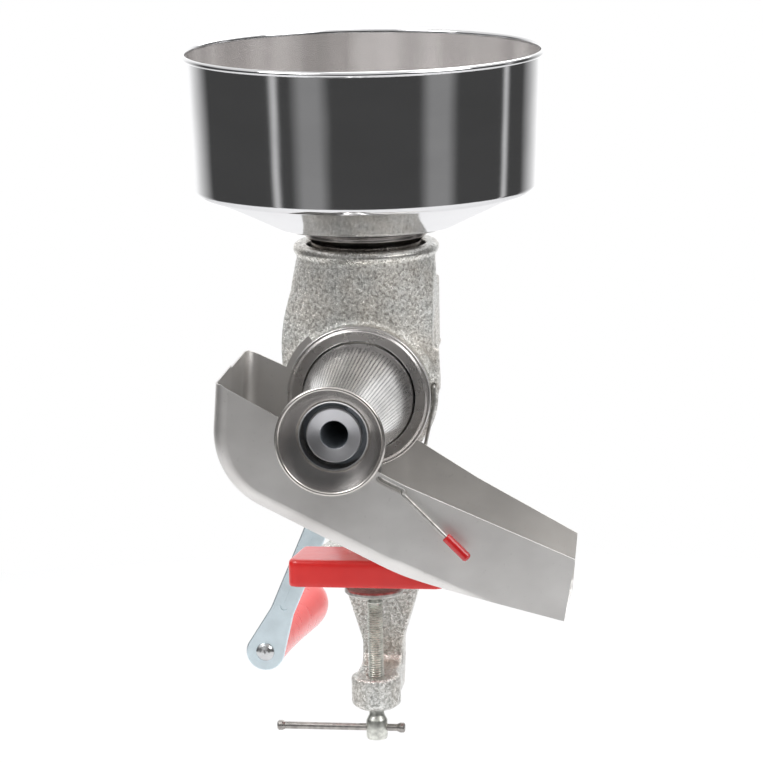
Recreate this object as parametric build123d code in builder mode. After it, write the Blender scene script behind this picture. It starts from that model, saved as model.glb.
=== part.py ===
from build123d import *
import os
from math import atan2, cos, degrees, radians, sin

os.makedirs("parts", exist_ok=True)

# Hand cranked tomato strainer that clamps to a table edge. Millimetres, +Z up.
# Origin: where the clamp screw's axis meets the underside of the upper jaw's shoe, which is
# the table top. +X is to the right of the user's view and +Y points away, towards the crank.

# ---- driving dimensions -------------------------------------------------------------------
# barrel and feed neck (one casting)
barrel_z = 124.0            # height of the barrel's axis over the table top
mouth_y = -53.0             # front face of the barrel's collar
collar_r = 43.6
collar_len = 7.0
barrel_front_r = 47.6       # outer radius just behind the collar
barrel_back_r = 37.0
barrel_back_y = 46.0
bore_front_r = 40.0
bore_back_r = 31.5
barrel_wall = 6.0           # thickness of the end wall
neck_y = -10.0              # feed neck's axis, and the hopper's
neck_r = 42.3
neck_base_r = (44.8, 37.0)  # half width and half depth where the neck meets the barrel
shoulder_y = -31.0          # the neck's front spreads into shoulders over the barrel's mouth
shoulder_size = (46.6, 17.0)
shoulder_z = 162.0
throat_r = 36.5
ledge_r = 32.6              # step in the throat that the hopper stands on
ledge_z = 197.0
lip_r = 45.0
lip_z = (205.6, 212.4)

plate_width = 24.0           # raised plate on the neck's side
plate_z = (148.0, 190.0)
plate_x = 44.8              # how far it stands out from the neck's axis
lug_x = 45.2
lug_z = 129.5
lug_size = 5.6

# shaft boss behind the barrel
boss_r = 15.0
boss_len = 50.0
bush_r = 9.5
bush_len = 52.0
bush_flange_r = 13.0
bush_flange = 2.5

# clamp frame
jaw_z = (3.2, 13.8)
jaw_width = 86.0
jaw_front_y = -36.0
column_y = (34.0, 50.0)
column_top_half = 27.0
column_waist_half = 13.0
nut_z = (-88.0, -67.0)      # threaded boss at the foot of the frame
nut_r = 15.6
nut_chamfer = 3.0

# red shoe over the upper jaw
shoe_width = 99.0
shoe_back_width = 89.0
shoe_y = (-41.0, -4.0)
sole_back_y = 21.0          # the shoe's sole reaches back under the jaw to here
sole_half = 30.0
shoe_height = 17.2
shoe_round = 4.0

# clamp screw
screw_r = 5.0
head_r = 6.8
head_z = (-108.8, -91.6)
bar_r = 2.3
bar_x = (-63.6, 17.9)
bar_z = -101.5
bar_end_r = 3.2
bar_end_len = 5.0
pad_r = 18.8
pad_z = (-13.4, -9.6)
pad_rim = 2.0               # rim that stands up round the pad's face
pad_recess = 1.2
pad_socket_r = 8.0
pad_socket_len = 2.4         # how far the pad's socket reaches below its disc
swivel_r = 4.0              # screw's turned tip inside the socket

# hopper
sheet = 1.0
rim_z = 329.0
rim_r = 109.2
bead_r = 1.7
wall_foot_r = 106.2
wall_foot_z = 246.5
shoulder_r = 6.0
cone_foot_z = 234.0
band_r = 38.9
band_z = 222.0
plug_r = 33.4
plug_z = 213.0
plug_tip_r = 34.2

# strainer cone
flange_r = 44.2
flange_y = (-57.0, -53.0)
cone_base_r = 33.2
cone_base_y = -56.0
cone_tip_r = 20.2
cone_tip_y = -162.0
cone_sheet = 1.0
sleeve_gap = 0.2            # between the cone and the cup's sleeve, filled by the solder
slot_rows = 4
slots_per_row = 26
slot_length = 17.0
slot_width = 2.0
slot_tilt = 6.0
cup_r = 31.2
cup_y = -178.0
cup_bead_r = 1.3

# auger and drive
auger_gap = 0.9             # between the screw's edge and the strainer
auger_back_y = 36.0
auger_tip_y = -160.0
auger_root_r = (14.0, 16.4) # core radius at the back and at the tip
flight_turns = 3             # turns behind the cone, at full width
flight_thick = 3.6
flight_margin = 2.0          # space between the flight's ends and the core's
tip_hole_r = 8.2
tip_hole_len = 60.0
socket_side = 9.0
socket_len = 34.0
shaft_r = 6.0
shaft_flange_r = 9.0
running = 0.08              # radial running clearance of a shaft in its bush
clear = 0.3                 # gap between pieces that only pass each other

# crank
crank_y = 107.0             # front face of the arm
crank_thick = 5.0
crank_len = 226.3
crank_angle = 23.05         # how far the arm hangs from straight down, towards -X
arm_width = 15.5
arm_eye_r = 12.6
hub_eye_r = 14.0
crank_square = 8.6
grip_len = 126.0
grip_neck_r = 12.6
grip_bulb_r = 24.0
axle_r = 4.0
stud_r = 4.0
washer_r = 10.0
washer_thick = 1.6
nut_height = 9.0
thrust_thick = 1.5

# collecting pan
pan_sheet = 0.9
pan_y = (-165.0, -50.0)
outlet_y = (-145.0, -75.0)
pan_left_x = -74.0
pan_bend_x = 34.0           # the walls start to close in and the floor flattens here
outlet_x = 136.0
floor_corner_z = 95.0
floor_bend_z = 41.0
outlet_floor_z = 9.0
nose_r = 48.0
floor_bend_r = 60.0
wall_bend_r = 40.0
fold_r = 9.0
hem_r = 1.5
front_notch_r = 24.5
hook_wire_r = 1.1
latch_wire_r = 1.2
latch_x = 40.6              # latch's pivot in the front wall
latch_z = 91.2
latch_angle = 45.4          # how far its lever points below level
lever_len = 54.0
tip_r = 2.9
tip_len = 18.5
slot_from_x = 26.5

barrel_axis = Axis((0, 0, barrel_z), (0, 1, 0))
neck_axis = Axis((0, neck_y, 0), (0, 0, 1))
clamp_axis = Axis.Z


def along_barrel():
    """Half-section plane of anything round about the barrel: local x is Y, local y is radius."""
    return Plane(origin=(0, 0, barrel_z), x_dir=(0, 1, 0), z_dir=(1, 0, 0))


def above_neck():
    """Half-section plane of anything round about the feed neck: local x is radius, y is Z."""
    return Plane(origin=(0, neck_y, 0), x_dir=(1, 0, 0), z_dir=(0, -1, 0))


def cone_r(y, inset=0.0):
    """Outer radius of the strainer cone at y, less an inset."""
    share = (y - cone_base_y) / (cone_tip_y - cone_base_y)
    return cone_base_r + (cone_tip_r - cone_base_r) * share - inset


# ---- clamp frame: jaw, column and threaded boss, cast in one with the barrel -------------
with BuildPart() as clamp_frame:
    with BuildSketch(Plane.YZ) as frame_side:
        with BuildLine():
            Polyline(
                (jaw_front_y, jaw_z[0]), (column_y[0], jaw_z[0]),
                (column_y[0], nut_z[1]), (0, nut_z[1]),
                (0, nut_z[0] + nut_chamfer), (column_y[1] - 8, nut_z[0] + nut_chamfer),
                (column_y[1], nut_z[1]), (column_y[1], 60),
                (column_y[1] - 6, 100), (2, 100),
                (8, 60), (shoe_y[1] + 10, jaw_z[1] + 8), (shoe_y[1] + 1, jaw_z[1]),
                (jaw_front_y, jaw_z[1]), close=True,
            )
        make_face()
        fillet(frame_side.vertices().filter_by(lambda v: v.X == column_y[0]), 6)
        fillet(frame_side.vertices().filter_by(lambda v: v.X == column_y[1] or v.X == 8), 8)
    extrude(amount=jaw_width, both=True)
    with BuildSketch(Plane.XZ) as frame_front:
        with BuildLine():
            right = Polyline(
                (column_waist_half, nut_z[0]), (column_waist_half, -54),
                (column_top_half, -8), (column_top_half, jaw_z[0]),
                (jaw_width / 2, jaw_z[0]), (jaw_width / 2, jaw_z[1]),
                (column_top_half - 4, jaw_z[1] + 4), (20, 60), (30, 100), (0, 100),
            )
            mirror(right, about=Plane.YZ)
            Line((column_waist_half, nut_z[0]), (-column_waist_half, nut_z[0]))
        make_face()
        fillet(frame_front.vertices().filter_by(lambda v: -60 < v.Y < -1), 14)
    extrude(amount=100, both=True, mode=Mode.INTERSECT)
    # the jaw narrows from the shoe back to the column
    with BuildSketch(Plane.XY.offset(jaw_z[0])) as jaw_plan:
        with BuildLine():
            corner = Polyline(
                (0, jaw_front_y), (jaw_width / 2, jaw_front_y), (jaw_width / 2 - 6, shoe_y[1]),
                (column_top_half, column_y[0] - 6), (column_top_half, 60), (0, 60),
            )
            mirror(corner, about=Plane.YZ)
        make_face()
        fillet(jaw_plan.vertices().filter_by(lambda v: v.Y < column_y[0] and abs(v.X) > 1), 5)
    extrude(amount=400, both=True, mode=Mode.INTERSECT)
    # hollow back of the column, which leaves a rib down each side
    with BuildSketch(Plane.XZ.offset(-column_y[1])) as column_back:
        with BuildLine():
            hollow = Polyline(
                (0, nut_z[1] + 4), (column_waist_half - 4, nut_z[1] + 4),
                (column_waist_half - 4, -54), (column_top_half - 6, -8),
                (column_top_half - 8, 8), (14, 50), (0, 50),
            )
            mirror(hollow, about=Plane.YZ)
        make_face()
        fillet(column_back.vertices().filter_by(lambda v: abs(v.X) > 1), 5)
    extrude(amount=9, mode=Mode.SUBTRACT)
    # threaded boss
    with BuildSketch(Plane.XZ):
        with BuildLine():
            Polyline(
                (0, nut_z[0]), (nut_r - 4, nut_z[0]), (nut_r, nut_z[0] + nut_chamfer),
                (nut_r, nut_z[1] - 1), (nut_r - 1, nut_z[1]), (0, nut_z[1]), close=True,
            )
        make_face()
    revolve(axis=clamp_axis)

# ---- body casting: barrel, feed neck and clamp frame ---------------------------------------
boss_end_y = barrel_back_y + boss_len
bore_back_y = barrel_back_y - barrel_wall
with BuildPart() as body_casting:
    with BuildSketch(along_barrel()):
        with BuildLine():
            Polyline(
                (mouth_y, 0), (mouth_y, collar_r - 1), (mouth_y + 1, collar_r),
                (mouth_y + collar_len, collar_r), (mouth_y + collar_len, barrel_front_r - 2),
                (mouth_y + collar_len + 2, barrel_front_r), (barrel_back_y - 3, barrel_back_r),
                (barrel_back_y, barrel_back_r - 3), (barrel_back_y, boss_r + 3),
                (barrel_back_y + 5, boss_r), (boss_end_y - 1, boss_r), (boss_end_y, boss_r - 1),
                (boss_end_y, 0), close=True,
            )
        make_face()
    revolve(axis=barrel_axis)
    # feed neck, flaring down into the barrel
    with BuildSketch(Plane.XY.offset(lip_z[0])):
        with Locations((0, neck_y)):
            Circle(neck_r)
    with BuildSketch(Plane.XY.offset(shoulder_z)):
        with Locations((0, neck_y)):
            Ellipse(neck_base_r[0] - 1.4, neck_base_r[1] + 0.6)
    with BuildSketch(Plane.XY.offset(barrel_z)):
        with Locations((0, neck_y + 1)):
            Ellipse(*neck_base_r)
    loft()
    # shoulders in front of the neck
    with BuildSketch(Plane.XY.offset(lip_z[0])):
        with Locations((0, neck_y)):
            Circle(neck_r)
    with BuildSketch(Plane.XY.offset(shoulder_z)):
        with Locations((0, shoulder_y)):
            Ellipse(*shoulder_size)
    with BuildSketch(Plane.XY.offset(barrel_z)):
        with Locations((0, shoulder_y)):
            Ellipse(*shoulder_size)
    loft()
    # rolled lip round the mouth of the neck
    with BuildSketch(above_neck()):
        with Locations((lip_r - 6, (lip_z[0] + lip_z[1]) / 2)):
            RectangleRounded(12, lip_z[1] - lip_z[0], 3)
    revolve(axis=neck_axis)
    add(clamp_frame.part)
    # plain raised plate on the right side of the neck
    with BuildSketch(Plane.YZ) as side_plate:
        with Locations((neck_y, (plate_z[0] + plate_z[1]) / 2)):
            RectangleRounded(plate_width, plate_z[1] - plate_z[0], 3)
    extrude(to_extrude=side_plate.sketch, amount=plate_x)
    # lugs on both sides, bored for the wire that the collecting pan hangs by
    with BuildSketch(Plane.XZ.offset(-mouth_y - collar_len - 0.5)):
        with Locations((lug_x, lug_z), (-lug_x, lug_z)):
            RectangleRounded(lug_size, lug_size + 6, lug_size / 2 - 0.2)
    extrude(amount=-12)
    # tapered bore, throat with the hopper's ledge, bush bore and screw hole
    with BuildSketch(along_barrel()):
        with BuildLine():
            Polyline(
                (mouth_y, 0), (mouth_y, bore_front_r), (bore_back_y, bore_back_r),
                (bore_back_y, 0), close=True,
            )
        make_face()
    revolve(axis=barrel_axis, mode=Mode.SUBTRACT)
    with BuildSketch(above_neck()):
        with BuildLine():
            Polyline(
                (0, barrel_z), (ledge_r, barrel_z), (ledge_r, ledge_z), (throat_r, ledge_z),
                (throat_r, lip_z[1] - 1), (throat_r + 1, lip_z[1]), (0, lip_z[1]), close=True,
            )
        make_face()
    revolve(axis=neck_axis, mode=Mode.SUBTRACT)
    with BuildSketch(Plane.XZ.offset(-bore_back_y + 1)):
        with Locations((0, barrel_z)):
            Circle(bush_r)
    extrude(amount=-boss_len - barrel_wall - 4, mode=Mode.SUBTRACT)
    with BuildSketch(Plane.XZ.offset(-mouth_y - collar_len + 1)):
        with Locations((lug_x, lug_z), (-lug_x, lug_z)):
            Circle(hook_wire_r + clear)
    extrude(amount=-9, mode=Mode.SUBTRACT)
    with BuildSketch(Plane.XY.offset(nut_z[0] - 1)):
        Circle(screw_r + running)
    extrude(amount=nut_z[1] - nut_z[0] + 2, mode=Mode.SUBTRACT)
body_casting.part.label = "body_casting"
export_step(body_casting.part, "parts/body_casting.step")

# ---- shaft bush, pressed into the boss from behind ----------------------------------------
with BuildPart() as shaft_bush:
    with BuildSketch(along_barrel()):
        with BuildLine():
            Polyline(
                (boss_end_y - bush_len, shaft_r + running), (boss_end_y - bush_len, bush_r),
                (boss_end_y, bush_r), (boss_end_y, bush_flange_r),
                (boss_end_y + bush_flange, bush_flange_r),
                (boss_end_y + bush_flange, shaft_r + running), close=True,
            )
        make_face()
    revolve(axis=barrel_axis)
shaft_bush.part.label = "shaft_bush"
export_step(shaft_bush.part, "parts/shaft_bush.step")

# ---- red shoe that covers the upper jaw ----------------------------------------------------
with BuildPart() as clamp_shoe:
    with BuildSketch(Plane.XY):
        with BuildLine():
            half = Polyline(
                (0, shoe_y[0]), (shoe_width / 2, shoe_y[0]), (shoe_back_width / 2, shoe_y[1]),
                (0, shoe_y[1]),
            )
            mirror(half, about=Plane.YZ)
        make_face()
    extrude(amount=shoe_height)
    fillet(clamp_shoe.edges().filter_by(Axis.Z).group_by(Axis.Y)[0], shoe_round + 2)
    fillet(clamp_shoe.faces().sort_by(Axis.Z)[-1].edges().group_by(Axis.Y)[:-1], shoe_round - 1)
    # pocket that slides over the jaw from the front
    with BuildSketch(Plane.XY.offset(jaw_z[0])):
        with BuildLine():
            pocket = Polyline(
                (0, jaw_front_y), (jaw_width / 2, jaw_front_y),
                (jaw_width / 2 - 6, shoe_y[1]), (jaw_width / 2 - 6, shoe_y[1] + 5),
                (0, shoe_y[1] + 5),
            )
            mirror(pocket, about=Plane.YZ)
        make_face()
    extrude(amount=jaw_z[1] - jaw_z[0], mode=Mode.SUBTRACT)
    # sole that runs back under the jaw to the table's edge
    with BuildSketch(Plane.XY):
        with Locations((0, (shoe_y[1] + sole_back_y) / 2 - 1)):
            RectangleRounded(2 * sole_half, sole_back_y - shoe_y[1] + 2, shoe_round)
    extrude(amount=jaw_z[0])
clamp_shoe.part.label = "clamp_shoe"
export_step(clamp_shoe.part, "parts/clamp_shoe.step")

swivel_top_z = pad_z[1] - pad_recess - 0.8

# ---- clamp screw: threaded rod with a turned head that the tommy bar passes through --------
with BuildPart() as clamp_screw:
    with BuildSketch(Plane.XZ):
        with BuildLine():
            Polyline(
                (0, head_z[0]), (head_r - 1.5, head_z[0]), (head_r, head_z[0] + 1.5),
                (head_r, head_z[1] - 5), (screw_r, head_z[1] - 2), (screw_r, head_z[1]),
                (screw_r, pad_z[0] - pad_socket_len - 1.6),
                (swivel_r, pad_z[0] - pad_socket_len - 0.6),
                (swivel_r, swivel_top_z - 0.1), (0, swivel_top_z - 0.1), close=True,
            )
        make_face()
    revolve(axis=clamp_axis)
    with BuildSketch(Plane.YZ.offset(-head_r - 1)):
        with Locations((0, bar_z)):
            Circle(bar_r + running)
    extrude(amount=2 * head_r + 2, mode=Mode.SUBTRACT)
clamp_screw.part.label = "clamp_screw"
export_step(clamp_screw.part, "parts/clamp_screw.step")

# ---- tommy bar with upset ends, which slides through the screw's head ----------------------
with BuildPart() as tommy_bar:
    with BuildSketch(Plane(origin=(0, 0, bar_z), x_dir=(1, 0, 0), z_dir=(0, -1, 0))):
        with BuildLine():
            Polyline(
                (bar_x[0], 0), (bar_x[0], bar_end_r - 0.8), (bar_x[0] + 0.8, bar_end_r),
                (bar_x[0] + bar_end_len - 2, bar_end_r), (bar_x[0] + bar_end_len, bar_r),
                (bar_x[1] - bar_end_len, bar_r), (bar_x[1] - bar_end_len + 2, bar_end_r),
                (bar_x[1] - 0.8, bar_end_r), (bar_x[1], bar_end_r - 0.8), (bar_x[1], 0),
                close=True,
            )
        make_face()
    revolve(axis=Axis((0, 0, bar_z), (1, 0, 0)))
tommy_bar.part.label = "tommy_bar"
export_step(tommy_bar.part, "parts/tommy_bar.step")

# ---- swivelling pressure pad ---------------------------------------------------------------
socket_foot_z = pad_z[0] - pad_socket_len
with BuildPart() as pressure_pad:
    with BuildSketch(Plane.XZ):
        with BuildLine():
            Polyline(
                (0, pad_z[1] - pad_recess), (pad_r - pad_rim, pad_z[1] - pad_recess),
                (pad_r - pad_rim, pad_z[1]), (pad_r - 0.6, pad_z[1]), (pad_r, pad_z[1] - 1),
                (pad_r, pad_z[1] - 2.4), (pad_r - 1.4, pad_z[0]), (pad_socket_r, pad_z[0]),
                (pad_socket_r, socket_foot_z), (swivel_r + running, socket_foot_z),
                (swivel_r + running, swivel_top_z), (0, swivel_top_z), close=True,
            )
        make_face()
    revolve(axis=clamp_axis)
pressure_pad.part.label = "pressure_pad"
export_step(pressure_pad.part, "parts/pressure_pad.step")

# ---- hopper bowl: spun sheet with a rolled rim ---------------------------------------------
with BuildPart() as hopper_bowl:
    with BuildSketch(above_neck()) as bowl_section:
        with BuildLine():
            outer = Polyline(
                (rim_r, rim_z), (wall_foot_r, wall_foot_z), (band_r - sheet - 0.1, cone_foot_z),
                (band_r - sheet - 0.1, band_z + 0.5), (band_r - 2 * sheet - 0.1, band_z + 0.5),
                (band_r - 2 * sheet - 0.1, cone_foot_z + sheet),
                (wall_foot_r - sheet, wall_foot_z + sheet), (rim_r - sheet, rim_z), close=True,
            )
        make_face()
        fillet(bowl_section.vertices().filter_by(lambda v: v.X == wall_foot_r), shoulder_r)
        fillet(
            bowl_section.vertices().filter_by(lambda v: v.X == wall_foot_r - sheet),
            shoulder_r - sheet,
        )
    revolve(axis=neck_axis)
    with BuildSketch(above_neck()):
        with Locations((rim_r + bead_r - sheet, rim_z)):
            Circle(bead_r)
    revolve(axis=neck_axis)
hopper_bowl.part.label = "hopper_bowl"
export_step(hopper_bowl.part, "parts/hopper_bowl.step")

# ---- hopper neck: band round the bowl's outlet and the tapered plug below it ----------------
with BuildPart() as hopper_neck:
    with BuildSketch(above_neck()):
        with BuildLine():
            Polyline(
                (band_r - sheet, cone_foot_z - 2.5), (band_r, cone_foot_z - 2.5), (band_r, band_z),
                (band_r - 1, band_z - 1), (band_r - 1, band_z - 2), (plug_r, plug_z),
                (plug_tip_r, ledge_z + clear), (plug_tip_r - 2, ledge_z + clear),
                (plug_r - 2, plug_z), (band_r - 3, band_z - 1.5), (band_r - sheet, band_z - 0.5),
                close=True,
            )
        make_face()
    revolve(axis=neck_axis)
hopper_neck.part.label = "hopper_neck"
export_step(hopper_neck.part, "parts/hopper_neck.step")

# ---- strainer flange that seats in the barrel's mouth ---------------------------------------
with BuildPart() as strainer_flange:
    with BuildSketch(along_barrel()) as flange_section:
        with BuildLine():
            Polyline(
                (flange_y[0] + 1.6, cone_base_r + clear), (flange_y[0] + 1.6, flange_r - 5),
                (flange_y[0], flange_r - 2), (flange_y[0], flange_r - 0.6),
                (flange_y[0] + 0.6, flange_r),
                (flange_y[1], flange_r), (flange_y[1], bore_front_r - clear),
                (flange_y[1] + 6, bore_front_r - 1), (flange_y[1] + 6, cone_base_r + 4),
                (flange_y[1], cone_base_r + clear), close=True,
            )
        make_face()
    revolve(axis=barrel_axis)
strainer_flange.part.label = "strainer_flange"
export_step(strainer_flange.part, "parts/strainer_flange.step")

# ---- perforated strainer cone ----------------------------------------------------------------
slot_band = (cone_base_y - 7, cone_tip_y + 8)
slot_step = (slot_band[1] - slot_band[0]) / slot_rows
with BuildPart() as strainer_cone:
    with BuildSketch(along_barrel()):
        with BuildLine():
            Polyline(
                (flange_y[1], cone_base_r), (cone_base_y, cone_base_r), (cone_tip_y, cone_tip_r),
                (cone_tip_y, cone_tip_r - cone_sheet), (cone_base_y, cone_base_r - cone_sheet),
                (flange_y[1], cone_base_r - cone_sheet), close=True,
            )
        make_face()
    revolve(axis=barrel_axis)
    slot_planes = []
    for row in range(slot_rows):
        slot_y = slot_band[0] + slot_step * (row + 0.5)
        for place in range(slots_per_row):
            angle = radians(360 / slots_per_row * (place + row % 2 / 2))
            outward = Vector(cos(angle), 0, sin(angle))
            middle = Vector(0, slot_y, barrel_z) + outward * (cone_r(slot_y) + 2)
            face_on = Plane(origin=middle, x_dir=(0, 1, 0), z_dir=outward)
            slot_planes.append(face_on.rotated((0, 0, slot_tilt)))
    with BuildSketch(*slot_planes):
        Rectangle(slot_length, slot_width)
    extrude(amount=-cone_sheet - 6, mode=Mode.SUBTRACT)
strainer_cone.part.label = "strainer_cone"
export_step(strainer_cone.part, "parts/strainer_cone.step")

# ---- flared cup at the cone's small end, where skins and seeds come out ----------------------
sleeve_y = cone_tip_y + 5
with BuildPart() as waste_cup:
    with BuildSketch(along_barrel()):
        with BuildLine():
            Polyline(
                (sleeve_y, cone_r(sleeve_y, -sleeve_gap)),
                (sleeve_y, cone_r(sleeve_y, -sleeve_gap - cone_sheet)),
                (cone_tip_y, cone_r(cone_tip_y, -sleeve_gap - cone_sheet)),
                (cup_y, cup_r), (cup_y, cup_r - cone_sheet),
                (cone_tip_y, cone_r(cone_tip_y, -sleeve_gap)), close=True,
            )
        make_face()
    revolve(axis=barrel_axis)
    with BuildSketch(along_barrel()):
        with Locations((cup_y, cup_r)):
            Circle(cup_bead_r)
    revolve(axis=barrel_axis)
waste_cup.part.label = "waste_cup"
export_step(waste_cup.part, "parts/waste_cup.step")

# ---- auger: moulded core with one helical flight that tapers with the strainer --------------
flight_r = cone_r(cone_base_y, cone_sheet + auger_gap)
flight_depth = flight_r - auger_root_r[0] + 0.5
flight_back_y = auger_back_y - flight_margin
auger_pitch = (flight_back_y - cone_base_y) / flight_turns
cone_taper = degrees(atan2(cone_base_r - cone_tip_r, cone_base_y - cone_tip_y))
with BuildPart() as auger:
    with BuildSketch(along_barrel()):
        with BuildLine():
            Polyline(
                (auger_back_y, 0), (auger_back_y, auger_root_r[0]),
                (auger_tip_y, auger_root_r[1]), (auger_tip_y, 0), close=True,
            )
        make_face()
    revolve(axis=barrel_axis)
    # straight stretch in the barrel, then the tapered stretch in the strainer
    for start_y, end_y, taper in (
        (flight_back_y, cone_base_y, 0),
        (cone_base_y, auger_tip_y + flight_margin, -cone_taper),
    ):
        with BuildLine() as flight_path:
            Helix(
                pitch=auger_pitch, height=start_y - end_y, radius=flight_r - flight_depth / 2,
                center=(0, start_y, barrel_z), direction=(0, -1, 0), cone_angle=taper,
            )
        flight_start = flight_path.line @ 0
        with BuildSketch(
            Plane(
                flight_start, x_dir=flight_start - Vector(0, start_y, barrel_z),
                z_dir=flight_path.line % 0,
            )
        ):
            Rectangle(flight_depth, flight_thick)
        sweep(path=flight_path.line, is_frenet=True)
    with BuildSketch(Plane.XZ.offset(-auger_tip_y)):
        with Locations((0, barrel_z)):
            Circle(tip_hole_r)
    extrude(amount=-tip_hole_len, mode=Mode.SUBTRACT)
    with BuildSketch(Plane.XZ.offset(-auger_back_y)):
        with Locations((0, barrel_z)):
            Rectangle(socket_side + 2 * running, socket_side + 2 * running)
    extrude(amount=socket_len, mode=Mode.SUBTRACT)
auger.part.label = "auger"
export_step(auger.part, "parts/auger.step")

# ---- drive shaft: square in the auger and under the crank, round in the bush -----------------
swing = radians(crank_angle)
grip_x = -crank_len * sin(swing)
grip_z = barrel_z - crank_len * cos(swing)
arm_plane = Plane(origin=(0, crank_y, barrel_z), x_dir=(-sin(swing), 0, -cos(swing)), z_dir=(0, 1, 0))
hub_back_y = crank_y + crank_thick
bush_start_y = boss_end_y - bush_len
collar_y = bush_start_y - thrust_thick - clear
stud_len = crank_thick + washer_thick + nut_height - 2.5
with BuildPart() as drive_shaft:
    with BuildSketch(along_barrel()):
        with BuildLine():
            Polyline(
                (auger_back_y, 0), (auger_back_y, shaft_r + 1), (auger_back_y + 0.5, shaft_flange_r),
                (collar_y, shaft_flange_r), (collar_y, shaft_r), (crank_y, shaft_r), (crank_y, 0),
                close=True,
            )
        make_face()
    revolve(axis=barrel_axis)
    with BuildSketch(Plane.XZ.offset(-auger_back_y)):
        with Locations((0, barrel_z)):
            Rectangle(socket_side, socket_side)
    extrude(amount=socket_len - 2)
    with BuildSketch(arm_plane):
        Rectangle(crank_square, crank_square)
    extrude(amount=crank_thick - 0.6)
    with BuildSketch(arm_plane):
        Circle(stud_r)
    extrude(amount=stud_len)
drive_shaft.part.label = "drive_shaft"
export_step(drive_shaft.part, "parts/drive_shaft.step")

# ---- thrust washer between the shaft's collar and the bush -----------------------------------
with BuildPart() as thrust_washer:
    with BuildSketch(Plane.XZ.offset(-collar_y - clear / 2)):
        with Locations((0, barrel_z)):
            Circle(bush_r - clear)
            Circle(shaft_r + clear, mode=Mode.SUBTRACT)
    extrude(amount=-thrust_thick)
thrust_washer.part.label = "thrust_washer"
export_step(thrust_washer.part, "parts/thrust_washer.step")

# ---- crank arm: flat bar with an eye at each end and a stamped groove ------------------------
groove_span = (crank_len - 120, crank_len - 34)
with BuildPart() as crank_arm:
    with BuildSketch(arm_plane) as arm_outline:
        Circle(hub_eye_r)
        with Locations((crank_len, 0)):
            Circle(arm_eye_r)
        with BuildLine():
            edge = Polyline(
                (0, hub_eye_r), (hub_eye_r + 12, arm_width / 2),
                (crank_len - 30, arm_width / 2), (crank_len - 3, arm_eye_r - 0.4),
                (crank_len - 3, 0),
            )
            mirror(edge, about=Plane.XZ)
            Line((0, hub_eye_r), (0, -hub_eye_r))
        make_face()
    extrude(amount=crank_thick)
    chamfer(crank_arm.faces().sort_by(Axis.Y)[0].outer_wire().edges(), 0.6)
    with BuildSketch(arm_plane):
        Rectangle(crank_square + 2 * running, crank_square + 2 * running)
        with Locations((crank_len, 0)):
            Circle(axle_r + running)
    extrude(amount=crank_thick, mode=Mode.SUBTRACT)
    with BuildSketch(arm_plane):
        with Locations(((groove_span[0] + groove_span[1]) / 2, 0)):
            Rectangle(groove_span[1] - groove_span[0], 1.6)
        with Locations((groove_span[1], 0)):
            Circle(2.6)
    extrude(amount=0.8, mode=Mode.SUBTRACT)
crank_arm.part.label = "crank_arm"
export_step(crank_arm.part, "parts/crank_arm.step")

# ---- washer and cap nut that hold the arm on the shaft ---------------------------------------
with BuildPart() as crank_washer:
    with BuildSketch(Plane.XZ.offset(-hub_back_y)):
        with Locations((0, barrel_z)):
            Circle(washer_r)
            Circle(stud_r + clear, mode=Mode.SUBTRACT)
    extrude(amount=-washer_thick)
crank_washer.part.label = "crank_washer"
export_step(crank_washer.part, "parts/crank_washer.step")

with BuildPart() as crank_nut:
    with BuildSketch(Plane.XZ.offset(-hub_back_y - washer_thick)):
        with Locations((0, barrel_z)):
            RegularPolygon(7.5, 6)
    extrude(amount=-nut_height)
    with BuildSketch(Plane.XZ.offset(-hub_back_y - washer_thick)):
        with Locations((0, barrel_z)):
            Circle(stud_r + running)
    extrude(amount=-nut_height + 1.5, mode=Mode.SUBTRACT)
    with BuildSketch(along_barrel()):
        with BuildLine():
            nut_base = hub_back_y + washer_thick
            Polyline(
                (nut_base, 0), (nut_base, 8), (nut_base + 5.5, 8), (nut_base + 7.6, 6),
                (nut_base + nut_height, 2.5), (nut_base + nut_height, 0), close=True,
            )
        make_face()
    revolve(axis=barrel_axis, mode=Mode.INTERSECT)
crank_nut.part.label = "crank_nut"
export_step(crank_nut.part, "parts/crank_nut.step")

# ---- grip axle: domed head in front of the arm, spigot through the grip ----------------------
grip_axis = Axis((grip_x, 0, grip_z), (0, 1, 0))
grip_start_y = hub_back_y + clear
axle_end_y = grip_start_y + grip_len - 12
head_dome_r = 6.2


def along_grip():
    """Half-section plane of the grip and its axle: local x is Y, local y is radius."""
    return Plane(origin=(grip_x, 0, grip_z), x_dir=(0, 1, 0), z_dir=(1, 0, 0))


with BuildPart() as grip_axle:
    with BuildSketch(along_grip()):
        with BuildLine():
            Polyline(
                (crank_y - 3.4, 0), (crank_y - 3.2, 2.4), (crank_y - 2.3, 4.6),
                (crank_y - 1, head_dome_r - 0.3), (crank_y, head_dome_r), (crank_y, axle_r),
                (axle_end_y, axle_r), (axle_end_y, 0), close=True,
            )
        make_face()
    revolve(axis=grip_axis)
grip_axle.part.label = "grip_axle"
export_step(grip_axle.part, "parts/grip_axle.step")

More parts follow.
